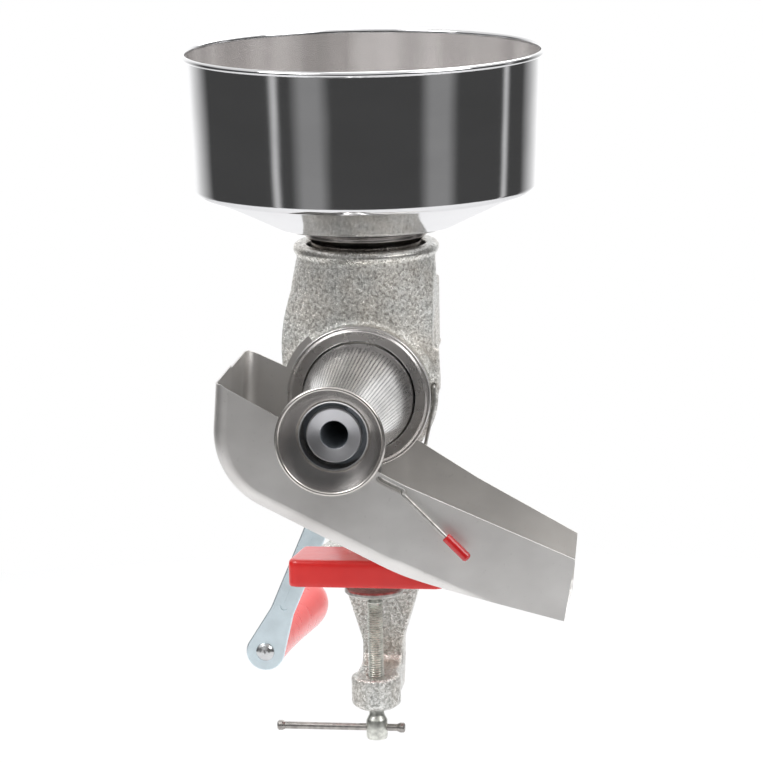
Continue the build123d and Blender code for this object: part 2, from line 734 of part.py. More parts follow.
# ---- pear shaped grip that spins on the axle --------------------------------------------------
bulb_y = grip_start_y + grip_len - 26
with BuildPart() as grip:
    with BuildSketch(along_grip()):
        with BuildLine():
            Polyline(
                (grip_start_y, axle_r + running), (grip_start_y, grip_neck_r - 1),
                (grip_start_y + 1, grip_neck_r),
            )
            Spline(
                (grip_start_y + 1, grip_neck_r), (grip_start_y + 40, grip_neck_r + 3.4),
                (bulb_y, grip_bulb_r), (grip_start_y + grip_len - 6, grip_neck_r + 4),
                (grip_start_y + grip_len, 0),
                tangents=((1, 0.02), (-0.05, -1)),
            )
            Polyline(
                (grip_start_y + grip_len, 0), (axle_end_y + 1, 0),
                (axle_end_y + 1, axle_r + running), (grip_start_y, axle_r + running),
            )
        make_face()
    revolve(axis=grip_axis)
grip.part.label = "grip"
export_step(grip.part, "parts/grip.step")

# ---- collecting pan: folded sheet chute that slopes to an outlet on the right ---------------
above_pan = 175.0
past_x = outlet_x + 24


def past_outlet(start, end):
    """Carry a wall or floor line on beyond the outlet, where it is trimmed."""
    return start + (end - start) * (past_x - pan_bend_x) / (outlet_x - pan_bend_x)


def trough(inset):
    """Solid outline of the pan, inset by a sheet's thickness for its inside."""
    with BuildPart() as form:
        with BuildSketch(Plane.XZ.offset(-pan_y[1] - hem_r)) as side:
            with BuildLine():
                Polyline(
                    (pan_left_x + 6 + inset, above_pan),
                    (pan_left_x + inset, floor_corner_z + 0.6 * inset),
                    (pan_bend_x, floor_bend_z + inset),
                    (past_x, past_outlet(floor_bend_z, outlet_floor_z) + inset),
                    (past_x, above_pan), close=True,
                )
            make_face()
            fillet(side.vertices().filter_by(lambda v: v.X < 0 and v.Y < above_pan), nose_r - inset)
            fillet(side.vertices().filter_by(lambda v: v.X == pan_bend_x), floor_bend_r)
        extrude(amount=pan_y[1] - pan_y[0] + 2 * hem_r)
        with BuildSketch(Plane.XY) as plan:
            with BuildLine():
                Polyline(
                    (-90, pan_y[0] + inset), (pan_bend_x, pan_y[0] + inset),
                    (past_x, past_outlet(pan_y[0], outlet_y[0]) + inset),
                    (past_x, past_outlet(pan_y[1], outlet_y[1]) - inset),
                    (pan_bend_x, pan_y[1] - inset), (-90, pan_y[1] - inset), close=True,
                )
            make_face()
            fillet(plan.vertices().filter_by(lambda v: v.X == pan_bend_x), wall_bend_r)
        extrude(amount=above_pan + hem_r, mode=Mode.INTERSECT)
        nose = form.edges().filter_by(GeomType.CIRCLE).filter_by(lambda e: e.center().X < -50)
        fillet(nose, fold_r - inset)
    return form.part


front_top = [(-65.5, 153.5), (41.7, 94.6), (outlet_x + 2.6, 47.3)]
back_top = [(-67.5, 152.0), (-48, 143.0), (73, 75.8), (outlet_x - 1.6, 46.0)]
outlet_low = (outlet_x - 6, 0)


# everything under the walls' top edges and before the outlet, front half and back half
with BuildPart() as under_walls:
    for top, reach in ((front_top, pan_y[1] - pan_y[0]), (back_top, pan_y[0] - pan_y[1])):
        with BuildSketch(Plane.XZ.offset(-(pan_y[0] + pan_y[1]) / 2)):
            with BuildLine():
                Polyline((-90, top[0][1] + 1), *top, outlet_low, (-90, 0), close=True)
            make_face()
        extrude(amount=reach)


def wall_y(x, side):
    """Middle of the front (0) or back (1) wall's sheet at x."""
    share = max(0, (x - pan_bend_x) / (outlet_x - pan_bend_x))
    inward = pan_sheet / 2 if side == 0 else -pan_sheet / 2
    return pan_y[side] + (outlet_y[side] - pan_y[side]) * share + inward


def on_wall(top, side):
    """Points of a wall's top edge in space, with one more where the wall bends in."""
    points = list(top)
    for (x0, z0), (x1, z1) in zip(top, top[1:]):
        if x0 < pan_bend_x < x1:
            share = (pan_bend_x - x0) / (x1 - x0)
            points.append((pan_bend_x, z0 + (z1 - z0) * share))
    return [Vector(x, wall_y(x, side), z) for x, z in sorted(points)]


finger_r = (collar_r + clear, collar_r + 4.4)
with BuildPart() as pan:
    add(trough(0))
    add(trough(pan_sheet), mode=Mode.SUBTRACT)
    add(under_walls.part, mode=Mode.INTERSECT)
    # rolled edges along the tops of the walls
    for top, side in ((front_top, 0), (back_top, 1)):
        with BuildLine() as rolled:
            Polyline(*on_wall(top, side))
        with BuildSketch(Plane(rolled.line @ 0, z_dir=rolled.line % 0)):
            Circle(hem_r)
        sweep(path=rolled.line, transition=Transition.ROUND)
    # the back wall's finger reaches over the collar's left shoulder
    with BuildSketch(Plane.XZ.offset(-pan_y[1])):
        with Locations((0, barrel_z)):
            Circle(finger_r[1])
            Circle(finger_r[0], mode=Mode.SUBTRACT)
        with BuildLine():
            Polyline(
                (0, barrel_z), (-80, barrel_z + 17), (-80, barrel_z + 80),
                (-67, barrel_z + 80), close=True,
            )
        make_face(mode=Mode.INTERSECT)
    extrude(amount=pan_sheet)
    # notches for the strainer in front and the casting's collar behind
    with BuildSketch(Plane.XZ.offset(-pan_y[0] - 10)):
        with Locations((0, barrel_z)):
            Circle(front_notch_r)
            with Locations((0, 40)):
                Rectangle(2 * front_notch_r, 80)
    extrude(amount=30, mode=Mode.SUBTRACT)
    with BuildSketch(Plane.XZ.offset(-pan_y[1] - 10)):
        with Locations((0, barrel_z)):
            Circle(collar_r + clear)
    extrude(amount=30, mode=Mode.SUBTRACT)
    # slot that the latch wire turns in
    with BuildSketch(Plane.XZ.offset(-pan_y[0] - 10)):
        with Locations(((slot_from_x + latch_x) / 2, latch_z + 3.75)):
            SlotOverall(latch_x - slot_from_x + 6, 2 * latch_wire_r + 1.2, rotation=-28)
    extrude(amount=20, mode=Mode.SUBTRACT)
pan.part.label = "pan"
export_step(pan.part, "parts/pan.step")

# ---- wire hook on the back wall, pegged into the casting's right lug --------------------------
hook_y = pan_y[1] + hem_r + hook_wire_r - pan_sheet / 2 + clear
with BuildPart() as pan_hook:
    with BuildLine() as hook_line:
        FilletPolyline(
            (37.5, hook_y, 84), (lug_x - 4.2, hook_y, 100), (lug_x, hook_y, lug_z - 11.5),
            (lug_x, hook_y, lug_z), (lug_x, hook_y + 7, lug_z), radius=(8, 8, 1.6),
        )
    with BuildSketch(Plane(hook_line.line @ 0, z_dir=hook_line.line % 0)):
        Circle(hook_wire_r)
    sweep(path=hook_line.line)
pan_hook.part.label = "pan_hook"
export_step(pan_hook.part, "parts/pan_hook.step")

# ---- latch: one bent wire, lever in front of the wall and hook round the strainer's end -------
lever_y = pan_y[0] - tip_r - clear
inner_y = pan_y[0] + pan_sheet / 2 + hem_r + latch_wire_r + clear
lever_dir = (cos(radians(latch_angle)), -sin(radians(latch_angle)))
flare_share = (cone_tip_y - inner_y + latch_wire_r) / (cone_tip_y - cup_y)
under_hook_r = cone_tip_r + sleeve_gap + cone_sheet + (cup_r - cone_tip_r) * flare_share
over_z = barrel_z + under_hook_r + latch_wire_r + clear
with BuildPart() as latch_wire:
    with BuildLine() as latch_line:
        FilletPolyline(
            (latch_x + lever_dir[0] * (lever_len - 4), lever_y, latch_z + lever_dir[1] * (lever_len - 4)),
            (latch_x, lever_y, latch_z), (latch_x, inner_y, latch_z),
            (slot_from_x, inner_y, latch_z + 7.5), (slot_from_x, inner_y, over_z),
            (0, inner_y, over_z), radius=(2, 2, 3, 20),
        )
    with BuildSketch(Plane(latch_line.line @ 0, z_dir=latch_line.line % 0)):
        Circle(latch_wire_r)
    sweep(path=latch_line.line)
latch_wire.part.label = "latch_wire"
export_step(latch_wire.part, "parts/latch_wire.step")

# ---- red tip moulded on the latch's lever ---------------------------------------------------
tip_from = lever_len - tip_len
tip_plane = Plane(
    origin=(latch_x + lever_dir[0] * tip_from, lever_y, latch_z + lever_dir[1] * tip_from),
    x_dir=(lever_dir[0], 0, lever_dir[1]), z_dir=(0, -1, 0),
)
with BuildPart() as latch_tip:
    with BuildSketch(tip_plane):
        with BuildLine():
            Polyline(
                (0, latch_wire_r + running), (0, tip_r - 0.5), (0.5, tip_r),
                (tip_len - 1.6, tip_r), (tip_len - 0.5, tip_r - 0.7), (tip_len, tip_r - 2),
                (tip_len, 0), (tip_len - 3.8, 0), (tip_len - 3.8, latch_wire_r + running),
                close=True,
            )
        make_face()
    revolve(axis=Axis(tip_plane.origin, tip_plane.x_dir))
latch_tip.part.label = "latch_tip"
export_step(latch_tip.part, "parts/latch_tip.step")
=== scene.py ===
from math import atan2, cos, pi, radians, sin, tan

import bpy
from mathutils import Matrix, Vector


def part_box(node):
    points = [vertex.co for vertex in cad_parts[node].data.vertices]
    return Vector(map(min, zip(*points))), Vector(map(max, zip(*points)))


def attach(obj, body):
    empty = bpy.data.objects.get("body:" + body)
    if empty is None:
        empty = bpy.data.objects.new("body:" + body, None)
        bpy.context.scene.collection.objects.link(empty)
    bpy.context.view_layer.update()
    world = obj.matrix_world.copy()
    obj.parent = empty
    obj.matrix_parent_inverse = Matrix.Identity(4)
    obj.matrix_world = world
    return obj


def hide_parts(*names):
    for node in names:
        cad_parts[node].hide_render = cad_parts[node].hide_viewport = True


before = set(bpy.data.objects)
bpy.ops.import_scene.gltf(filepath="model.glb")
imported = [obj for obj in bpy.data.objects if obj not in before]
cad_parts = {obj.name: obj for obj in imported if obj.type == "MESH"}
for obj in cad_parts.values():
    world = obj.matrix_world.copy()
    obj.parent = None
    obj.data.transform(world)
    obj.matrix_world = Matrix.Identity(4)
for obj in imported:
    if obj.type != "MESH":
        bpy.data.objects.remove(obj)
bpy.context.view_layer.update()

# ==== Body casting =========================================================================
# Barrel, feed neck and clamp frame are one grey iron casting, dipped in tin. The mould's sand
# leaves a coarse, glittering skin, and every inside corner is a soft fillet. Sizes are in mm.
mm = 0.001
casting_grain, casting_passes = 1.1, 6
sand_size, fine_sand_size, patch_size, sand_depth = 1.9, 0.55, 24, 1.1
turned_lip_z = (204, 207)
rubbed_foot_z = (10, -25)
shoulder_reach, shoulder_z, shoulder_half = 3.6, 150, 34
shoulder_full_x, shoulder_back_y, shoulder_fade = -30, 20, 30
shoulder_front_y, shoulder_front_fade = -44, 10
throat_y, throat_r = -10, 38
plate_face_x, plate_z = 43.5, (150, 195)


class Value:
    """A socket that ordinary operators work on. Each one adds a Math node."""

    def __init__(self, shading, socket):
        self.shading = shading
        self.socket = socket

    def of(self, operation, *others):
        """Any Math operation on this value, such as ARCTAN2 or MAXIMUM."""
        return self.shading.node("ShaderNodeMath", {"operation": operation}, self, *others)

    def __add__(self, other):
        return self.of("ADD", other)

    def __sub__(self, other):
        return self.of("SUBTRACT", other)

    def __rsub__(self, other):
        return self.shading.node("ShaderNodeMath", {"operation": "SUBTRACT"}, other, self)

    def __mul__(self, other):
        return self.of("MULTIPLY", other)

    def __truediv__(self, other):
        return self.of("DIVIDE", other)

    __radd__ = __add__
    __rmul__ = __mul__

    def clipped(self, low, high):
        """0 below low, 1 above high and straight between."""
        return self.shading.node("ShaderNodeMapRange", {}, self, low, high)


class Shading:
    """The nodes of a material or of the surroundings."""

    def __init__(self, tree):
        self.tree = tree

    def node(self, kind, settings, *inputs, output=0, **named):
        """Add a node: its settings first, then its sockets in order or by name."""
        added = self.tree.nodes.new(kind)
        for key, value in settings.items():
            setattr(added, key, value)
        for key, value in [*enumerate(inputs), *named.items()]:
            socket = added.inputs[key if isinstance(key, int) else key.replace("_", " ")]
            self.plug(value, socket)
        return Value(self, added.outputs[output])

    def plug(self, value, socket):
        """Link a value to a socket, or set the socket to a constant."""
        if isinstance(value, Value):
            self.tree.links.new(value.socket, socket)
        elif isinstance(value, tuple) and len(value) < len(socket.default_value):
            socket.default_value = (*value, 1)
        else:
            socket.default_value = value

    def mix(self, share, low, high):
        """A colour between two colours."""
        mixed = self.node("ShaderNodeMix", {"data_type": "RGBA"}, share, output=2)
        for slot, value in ((6, low), (7, high)):
            self.plug(value, mixed.socket.node.inputs[slot])
        return mixed

    def place(self, scale=(1, 1, 1)):
        """The point on the piece in metres, stretched by scale."""
        where = self.node("ShaderNodeTexCoord", {}, output="Object")
        return self.node("ShaderNodeVectorMath", {"operation": "MULTIPLY"}, where, scale)

    def along(self, axis):
        """How far along X, Y or Z the point is, in metres."""
        return self.node("ShaderNodeSeparateXYZ", {}, self.place(), output=axis)

    def noise(self, size, scale=(1, 1, 1), detail=2.0, rough=0.5):
        """Soft noise in lumps of about size metres, drawn out of round by scale."""
        return self.node(
            "ShaderNodeTexNoise", {}, Vector=self.place(scale), Scale=1 / size, Detail=detail,
            Roughness=rough, output="Fac",
        )


class Finish(Shading):
    """A material: its surface shader, and what feeds it."""

    def __init__(self, name, **fixed):
        self.material = bpy.data.materials.new(name)
        self.material.use_nodes = True
        super().__init__(self.material.node_tree)
        self.surface = self.tree.nodes["Principled BSDF"]
        self.feed(**fixed)

    def feed(self, **values):
        """Set or link sockets of the surface shader."""
        for key, value in values.items():
            self.plug(value, self.surface.inputs[key.replace("_", " ")])

    def bump(self, height, depth):
        """Relief of that depth in metres."""
        self.feed(Normal=self.node("ShaderNodeBump", {}, Distance=depth, Height=height))


def dress(piece, finish, crease=32):
    """Give a piece its finish and shade it smooth, apart from edges over the crease angle."""
    piece.data.materials.clear()
    piece.data.materials.append(finish.material)
    piece.data.shade_smooth()
    piece.data.set_sharp_from_angle(angle=radians(crease))


def stand_for(piece, node, body):
    """A detailed piece takes the place of a CAD node on its body."""
    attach(piece, body)
    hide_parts(node)


def as_object(name, mesh):
    """Put a mesh into the scene as an object."""
    piece = bpy.data.objects.new(name, mesh)
    bpy.context.scene.collection.objects.link(piece)
    return piece


def settled(piece):
    """Apply a piece's modifiers."""
    shape = piece.evaluated_get(bpy.context.evaluated_depsgraph_get())
    mesh = bpy.data.meshes.new_from_object(shape)
    piece.modifiers.clear()
    piece.data = mesh
    return piece


def remoulded(node, name, grain, passes):
    """A copy of a node with soft corners, as a mould or a dip leaves them; the grain is in mm."""
    piece = as_object(name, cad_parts[node].data.copy())
    remesh = piece.modifiers.new("remesh", "REMESH")
    remesh.mode = "VOXEL"
    remesh.voxel_size = grain * mm
    soften = piece.modifiers.new("soften", "SMOOTH")
    soften.iterations = passes
    return settled(piece)


def share_of(value, empty, full):
    """0 where value is at empty, 1 where it is at full or past it."""
    return min(1, max(0, (value - empty) / (full - empty)))


def cast_skin():
    """Tin over sandy iron: bright on the grains, dark between them, smooth on the turned lip."""
    finish = Finish("tinned_iron_skin", Metallic=0.85)
    sand = finish.noise(sand_size * mm, detail=3.0, rough=0.7)
    grains = finish.noise(fine_sand_size * mm, rough=0.7)
    patches = finish.noise(patch_size * mm, detail=3.0).clipped(0.35, 0.65)
    height = sand * 0.62 + grains * 0.38
    bright = height.clipped(0.40, 0.60)
    up = finish.along(2)
    lip = up.clipped(turned_lip_z[0] * mm, turned_lip_z[1] * mm)
    foot = up.clipped(rubbed_foot_z[0] * mm, rubbed_foot_z[1] * mm)
    smooth = lip * 0.75 + foot * 0.4
    cool = finish.mix(bright, (0.30, 0.30, 0.28), (0.97, 0.97, 0.94))
    warm = finish.mix(bright, (0.35, 0.32, 0.28), (0.98, 0.95, 0.89))
    finish.feed(
        Base_Color=finish.mix(patches, cool, warm), Roughness=0.42 - bright * 0.16 - smooth * 0.10,
    )
    finish.bump(height * (1 - smooth), sand_depth * mm)
    return finish


def shoulder_share(x, y, z):
    """How far the left shoulder stands out at a place in mm, from 0 to 1."""
    hump = max(0, 1 - ((z - shoulder_z) / shoulder_half) ** 2)
    side = share_of(x, 0, shoulder_full_x)
    back = share_of(y, shoulder_back_y, shoulder_back_y - shoulder_fade)
    front = share_of(y, shoulder_front_y, shoulder_front_y + shoulder_front_fade)
    return hump * side * back * front


casting = remoulded("body_casting", "casting_skin", casting_grain, casting_passes)
for vertex in casting.data.vertices:
    x, y, z = vertex.co / mm
    if Vector((x, y - throat_y)).length >= throat_r:
        vertex.co.x -= shoulder_reach * mm * shoulder_share(x, y, z)
    if plate_z[0] < z < plate_z[1]:
        vertex.co.x = min(vertex.co.x, plate_face_x * mm)
dress(casting, cast_skin(), crease=60)
stand_for(casting, "body_casting", "frame")

# ==== Shaft bush and thrust washer ==========================================================
# Turned steel bush pressed into the back boss, and the hardened washer that takes the push of
# the screw. Both come off the lathe, so fine rings run round them.


def turned_steel(name, colour, roughness):
    """Lathe-turned metal with fine rings across Y and a little oil."""
    finish = Finish(name, Metallic=1.0)
    rings = finish.noise(0.35 * mm, scale=(0.02, 1, 0.02), detail=3.0)
    oil = finish.noise(9 * mm, detail=2.0).clipped(0.4, 0.7)
    dark = tuple(0.72 * part for part in colour)
    finish.feed(
        Base_Color=finish.mix(oil * 0.6, colour, dark),
        Roughness=roughness + rings * 0.12,
    )
    finish.bump(rings, 0.03 * mm)
    return finish


bush_steel = turned_steel("turned_bush_steel", (0.52, 0.51, 0.48), 0.30)
for node in ("shaft_bush", "thrust_washer", "drive_shaft"):
    dress(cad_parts[node], bush_steel)

# ==== Clamp shoe ============================================================================
# Soft red vinyl boot pushed over the upper jaw so that the clamp doesn't mark the table. It is
# dip moulded: rounded corners, a glossy skin and a slightly wavy surface.


def vinyl(name, deep, pale, roughness):
    """Dipped or painted plastic: gloss that varies, faint waves and a few pale scuffs."""
    finish = Finish(name, Coat_Roughness=0.12, Specular_IOR_Level=0.5)
    wave = finish.noise(11 * mm, detail=2.0)
    scuff = finish.noise(2.2 * mm, scale=(1, 0.25, 1), detail=4.0, rough=0.7).clipped(0.62, 0.8)
    finish.feed(
        Base_Color=finish.mix(wave.clipped(0.3, 0.7) * 0.55 + scuff * 0.3, deep, pale),
        Roughness=roughness + scuff * 0.25 + wave * 0.08,
        Coat_Weight=0.5 - scuff * 0.4,
    )
    finish.bump(wave * 0.8 + scuff * 0.05, 0.35 * mm)
    return finish


shoe_grain, shoe_passes = 0.7, 8
shoe = remoulded("clamp_shoe", "shoe_skin", shoe_grain, shoe_passes)
dress(shoe, vinyl("red_vinyl_dip", (0.64, 0.009, 0.007), (0.72, 0.018, 0.014), 0.30), crease=60)
stand_for(shoe, "clamp_shoe", "frame")

# ==== Clamp screw ===========================================================================
# Steel rod with a rolled thread, a turned head that the tommy bar passes through and a neck
# that snaps into the pad. The thread is a real helix, drawn from the rod's radius and pitch.
ring_steps = 64


def meshed(name, rows):
    """A skin over rings of points with as many points each."""
    width = len(rows[0])
    points = [point for row in rows for point in row]
    faces = []
    for start in range(0, (len(rows) - 1) * width, width):
        for place in range(width):
            after = (place + 1) % width
            faces.append((start + place, start + after, start + width + after, start + width + place))
    mesh = bpy.data.meshes.new(name)
    mesh.from_pydata(points, [], faces)
    mesh.validate()
    return mesh


def round_z(radius, height):
    """A ring of points about Z; radius is a number in mm, or a function of the angle."""
    ring = []
    for step in range(ring_steps):
        angle = 2 * pi * step / ring_steps
        reach = (radius(angle) if callable(radius) else radius) * mm
        ring.append(Vector((reach * cos(angle), reach * sin(angle), height * mm)))
    return ring


screw_low, screw_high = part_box("clamp_screw")
screw_foot = screw_low.z / mm
screw_top = screw_high.z / mm
head_r = screw_high.x / mm
head_height = 17.2
head_top = screw_foot + head_height
rod_r, neck_r, tip_r = 5.0, 4.7, 4.0
thread_pitch = 1.5
thread_depth = 0.95
thread_crest = 1.6
thread_steps = 10
thread_from = head_top + 3
thread_to = screw_top - 7.5
thread_run_out = 2
closed = 0.01


def thread_radius(height):
    """Radius of the thread at a height, as a function of the angle: round crest, sharp root."""
    def at(angle):
        share = (height / thread_pitch - angle / (2 * pi)) % 1
        fade = min(1, (height - thread_from) / thread_run_out, (thread_to - height) / thread_run_out)
        return rod_r - thread_depth * abs(2 * share - 1) ** thread_crest * max(0, fade)
    return at


screw_rows = [
    round_z(*ring) for ring in (
        (closed, screw_foot), (head_r - 1.8, screw_foot), (head_r - 0.5, screw_foot + 0.4),
        (head_r, screw_foot + 1.7), (head_r, head_top - 5), (head_r - 0.4, head_top - 4),
        (rod_r + 0.3, head_top - 2), (neck_r, head_top - 0.8), (neck_r, thread_from),
    )
]
turns = round((thread_to - thread_from) / thread_pitch * thread_steps)
for step in range(1, turns):
    height = thread_from + (thread_to - thread_from) * step / turns
    screw_rows.append(round_z(thread_radius(height), height))
screw_rows += [
    round_z(*ring) for ring in (
        (neck_r, thread_to), (neck_r, screw_top - 6.6), (tip_r, screw_top - 5.6),
        (tip_r, screw_top), (closed, screw_top),
    )
]
screw = as_object("threaded_screw", meshed("threaded_screw", screw_rows))


def oiled_rod(name, colour, roughness):
    """Bright drawn steel, greenish with oil in the hollows."""
    finish = Finish(name, Metallic=1.0)
    film = finish.noise(3 * mm, detail=3.0)
    scratches = finish.noise(0.5 * mm, scale=(1, 1, 0.08), detail=3.0)
    finish.feed(
        Base_Color=finish.mix(film.clipped(0.35, 0.7), colour, tuple(0.6 * c for c in colour)),
        Roughness=roughness + scratches * 0.15,
    )
    finish.bump(scratches, 0.04 * mm)
    return finish


dress(screw, oiled_rod("oiled_thread_steel", (0.78, 0.79, 0.73), 0.24), crease=50)
stand_for(screw, "clamp_screw", "screw")

# ==== Tommy bar and pressure pad ============================================================
# The bar is drawn rod with upset ends that keep it in the screw's head; the pad is a pressed
# steel cup that swivels on the screw's tip. Both are bright from handling.
dress(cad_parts["tommy_bar"], oiled_rod("dark_drawn_steel", (0.42, 0.40, 0.38), 0.24))
dress(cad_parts["pressure_pad"], oiled_rod("pressed_pad_steel", (0.58, 0.57, 0.54), 0.34))

# ==== Hopper ================================================================================
# Spun stainless bowl, buffed bright outside and satin inside, with its rim curled over a wire.
# A tapered plug is pressed under its outlet and stands in the casting's feed neck.
bowl_low, bowl_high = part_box("hopper_bowl")
neck_centre = (0, (bowl_low.y + bowl_high.y) / 2 / mm)
spin_steps = 256
least_r = 0.005


def arc(centre, radius, start, end, steps):
    """Points of an arc in a section: (along, radius) in mm, angles in degrees from the radius."""
    points = []
    for step in range(steps + 1):
        angle = radians(start + (end - start) * step / steps)
        points.append((centre[0] + radius * sin(angle), centre[1] + radius * cos(angle)))
    return points


def eased(corners, steps=7):
    """Corners of a section, (along, radius) or (along, radius, rounding), with arcs at the last."""
    points = []
    for place, corner in enumerate(corners):
        if len(corner) < 3:
            points.append(corner)
            continue
        here = Vector(corner[:2])
        before = Vector(corners[place - 1][:2])
        after = Vector(corners[(place + 1) % len(corners)][:2])
        to_before = (before - here).normalized()
        to_after = (after - here).normalized()
        half = to_before.angle(to_after) / 2
        reach = min(corner[2] / tan(half), (before - here).length * 0.48, (after - here).length * 0.48)
        radius = reach * tan(half)
        centre = here + (to_before + to_after).normalized() * (radius / sin(half))
        start = here + to_before * reach - centre
        end = here + to_after * reach - centre
        sweep = (atan2(end.y, end.x) - atan2(start.y, start.x) + pi) % (2 * pi) - pi
        for step in range(steps + 1):
            turn = Matrix.Rotation(sweep * step / steps, 2)
            points.append(tuple(centre + turn @ start))
    return points


def spun(name, section, centre, axis="Z", steps=spin_steps):
    """A closed section turned about an axis through centre, in mm."""
    rows = []
    for along, radius in [*section, section[0]]:
        ring = []
        for step in range(steps):
            angle = 2 * pi * step / steps
            across = max(radius, least_r) * cos(angle)
            up = max(radius, least_r) * sin(angle)
            point = (across, up, along) if axis == "Z" else (across, along, up)
            offset = (*centre, 0) if axis == "Z" else (centre[0], 0, centre[1])
            ring.append((Vector(point) + Vector(offset)) * mm)
        rows.append(ring)
    piece = as_object(name, meshed(name, rows))
    weld = piece.modifiers.new("weld", "WELD")
    weld.merge_threshold = 0.002 * mm
    return settled(piece)


sheet = 1.0
rim_z, rim_r, rim_roll = 329.0, 109.2, 1.7
shoulder = (246.5, 106.2)
dish = (224.6, 61.0)
outlet = (221.6, 37.8)
bowl_section = [
    *eased([
        (outlet[0] - 1, outlet[1] - sheet), (*outlet, 0.5), (*dish, 26), (*shoulder, 5),
        (rim_z - 2, rim_r - 0.1),
    ]),
    *arc((rim_z, rim_r + 0.7), rim_roll, -118, 175, 22),
    *eased([
        (rim_z - 1, rim_r - sheet), (shoulder[0] + sheet, shoulder[1] - sheet, 4),
        (dish[0] + sheet, dish[1] - 0.4, 26), (outlet[0] + sheet, outlet[1] - sheet),
    ]),
]


def polished(name, colour, roughness):
    """Spun and buffed stainless: faint rings round Z, fine buffing haze and a slow ripple."""
    finish = Finish(name, Metallic=1.0)
    rings = finish.noise(0.8 * mm, scale=(0.015, 0.015, 1), detail=4.0, rough=0.65)
    haze = finish.noise(30 * mm, scale=(0.6, 0.6, 1.6), detail=3.0)
    finish.feed(
        Base_Color=finish.mix(haze.clipped(0.3, 0.7), colour, tuple(0.94 * c for c in colour)),
        Roughness=roughness + rings * 0.05 + haze * 0.02,
    )
    ripple = finish.noise(26 * mm, scale=(1, 1, 0.5), detail=1.0)
    finish.bump(rings * 0.012 + ripple * 0.16, 1 * mm)
    return finish


def satin_inside():
    """The unbuffed inside: fine rings round Z, and upright light and dark streaks of painted
    reflection.
    """
    finish = Finish("satin_stainless_inside", Metallic=0.80)
    rings = finish.noise(0.9 * mm, scale=(0.015, 0.015, 1), detail=4.0, rough=0.65)
    # painted reflection: upright streaks of lighter and darker colour stand for the bright bands
    # mirrored inside the bowl
    painted_reflection_streaks = finish.noise(34 * mm, scale=(1, 1, 0.05), detail=2.0)
    finish.feed(
        Base_Color=finish.mix(painted_reflection_streaks.clipped(0.3, 0.7), (0.96, 0.94, 0.93), (0.60, 0.58, 0.57)),
        Roughness=0.15 + rings * 0.08,
    )
    finish.bump(rings, 0.02 * mm)
    return finish


bowl = spun("spun_bowl", bowl_section, neck_centre)
dress(bowl, polished("buffed_stainless", (0.72, 0.72, 0.73), 0.045), crease=40)
bowl.data.materials.append(satin_inside().material)
for face in bowl.data.polygons:
    outward = Vector((face.center.x, face.center.y - neck_centre[1] * mm, 0)).normalized()
    faces_in = face.normal.dot(outward) < -0.2
    face.material_index = int(faces_in and face.center.z < (rim_z - 1) * mm)
stand_for(bowl, "hopper_bowl", "hopper")

plug_top, plug_foot = 221.4, 197.3
plug_section = eased([
    (plug_top, 36.9), (plug_top, 38.5, 0.3), (220.3, 38.7, 0.5), (219.6, 37.6, 0.3),
    (218.9, 38.0, 0.4), (217.6, 37.9, 0.5), (213.6, 33.8, 1.5), (plug_foot, 34.2, 0.5),
    (plug_foot, 32.2), (213.6, 31.8), (218.5, 35.9), (plug_top, 35.9),
])
plug = spun("band_and_plug", plug_section, neck_centre)
dress(plug, polished("buffed_plug_steel", (0.46, 0.43, 0.41), 0.16), crease=30)
stand_for(plug, "hopper_neck", "hopper")

# ==== Strainer ==============================================================================
# A pressed flange with a rounded lip seats in the barrel's mouth. The tinned cone in it is
# pierced by close rows of holes along it, and ends in a flared cup with a rolled edge.
flange_low, flange_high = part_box("strainer_flange")
barrel_centre = (0, (flange_low.z + flange_high.z) / 2 / mm)
flange_r = flange_high.x / mm
flange_bore_r = 34.7
flange_back_y, flange_face_y, flange_lip_y = -53.0, -55.4, -57.0
spigot_y = -47.0
flange_section = eased([
    (flange_back_y, flange_bore_r), (flange_face_y, flange_bore_r, 0.4),
    (flange_face_y - 0.3, flange_r - 3.4, 3), (flange_lip_y, flange_r - 1.9, 1.2),
    (flange_lip_y, flange_r - 0.3, 1.0), (flange_back_y, flange_r, 0.9),
    (flange_back_y, 39.7), (spigot_y, 39.0), (spigot_y, 37.2),
])
round_y = (0.05, 1, 0.05)


def tinned(name, colour, roughness, axis_scale=(1, 0.05, 1)):
    """Tin plate: satin, a little cloudy, with fine marks from the roll or the spinning tool."""
    finish = Finish(name, Metallic=1.0)
    marks = finish.noise(0.7 * mm, scale=axis_scale, detail=3.0, rough=0.6)
    clouds = finish.noise(18 * mm, detail=3.0)
    finish.feed(
        Base_Color=finish.mix(clouds.clipped(0.3, 0.7), colour, tuple(0.88 * c for c in colour)),
        Roughness=roughness + marks * 0.10 + clouds * 0.05,
    )
    finish.bump(marks, 0.03 * mm)
    return finish


flange = spun("lipped_flange", flange_section, barrel_centre, axis="Y")
dress(flange, tinned("spun_tin_plate", (0.62, 0.60, 0.59), 0.20, round_y), crease=30)
stand_for(flange, "strainer_flange", "frame")

cone_back, cone_front, cone_edge = -53.0, -162.0, -164.2
cone_base_y, cone_base_r, cone_tip_r = -56.0, 33.2, 20.2
holes_from, holes_to = -65.0, -153.0
hole_rows = 84
holes_per_row = 34
row_slant = radians(-0.8)
hole_width, hole_length = 0.47, 0.60
hole_rounding = 0.74
cone_wall = 0.8


def cone_radius(along):
    """Outer radius of the cone at a place along the barrel."""
    share = max(0, (along - cone_base_y) / (cone_front - cone_base_y))
    return cone_base_r + (cone_tip_r - cone_base_r) * share


def on_cone(row, along):
    """A point of the cone: row counts the rows of holes round it, and rows slant."""
    slant = (holes_from - along) * tan(row_slant) / cone_base_r
    angle = pi / 2 - 2 * pi * row / hole_rows - slant
    radius = cone_radius(along)
    return Vector((radius * cos(angle), along, barrel_centre[1] + radius * sin(angle))) * mm


